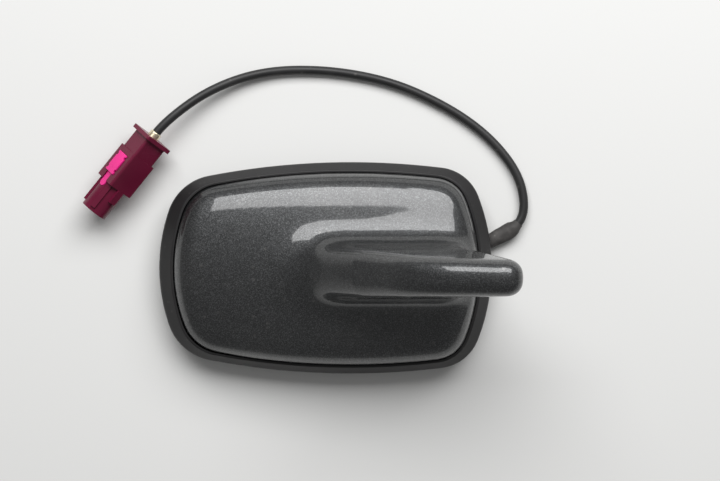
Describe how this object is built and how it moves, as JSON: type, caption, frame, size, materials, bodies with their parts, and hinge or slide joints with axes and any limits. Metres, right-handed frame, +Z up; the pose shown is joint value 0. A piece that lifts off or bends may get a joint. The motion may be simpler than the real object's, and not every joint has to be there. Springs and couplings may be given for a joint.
{
  "type": "shark fin aerial",
  "caption": "Car roof aerial: painted cover with a fin, rubber rim, die-cast base with a threaded spigot, and a short coaxial lead with a keyed plug.",
  "frame": {"origin": "on the fixing bolt's axis, in the plane of the roof's surface, which is the rubber rim's underside", "axes": "+X to the car's rear, along the base; +Y to the car's right; +Z up, away from the roof"},
  "size_m": [0.1397, 0.0965, 0.065],
  "materials": {
    "paint": "gloss",
    "rim_rubber": "satin",
    "foam": "matte",
    "casting": "satin",
    "screw_zinc": "satin",
    "board_green": "satin",
    "tinned": "satin",
    "blade_brass": "satin",
    "bracket_plastic": "matte",
    "jacket": "matte",
    "shrink": "satin",
    "ferrule_gold": "polished",
    "plug_wine": "satin",
    "lock_pink": "satin",
    "insulator_white": "satin"
  },
  "bodies": {
    "root": {"cover": "paint", "rim_seal": "rim_rubber", "cable_grommet": "rim_rubber", "hole_seal": "foam", "base_plate": "casting", "cover_screws": "screw_zinc", "board_screws": "screw_zinc", "clamp_screws": "screw_zinc", "circuit_board": "board_green", "shield_can": "tinned", "cable_clamp": "tinned", "cable_terminal": "tinned", "antenna_blade": "blade_brass", "blade_bracket": "bracket_plastic", "cable": "jacket", "cable_tail": "jacket", "cable_sleeve": "shrink", "crimp_ferrule": "ferrule_gold", "plug_shell": "ferrule_gold", "plug_pin": "ferrule_gold", "plug_housing": "plug_wine", "plug_lock": "lock_pink", "plug_insulator": "insulator_white"}
  },
  "joints": []
}
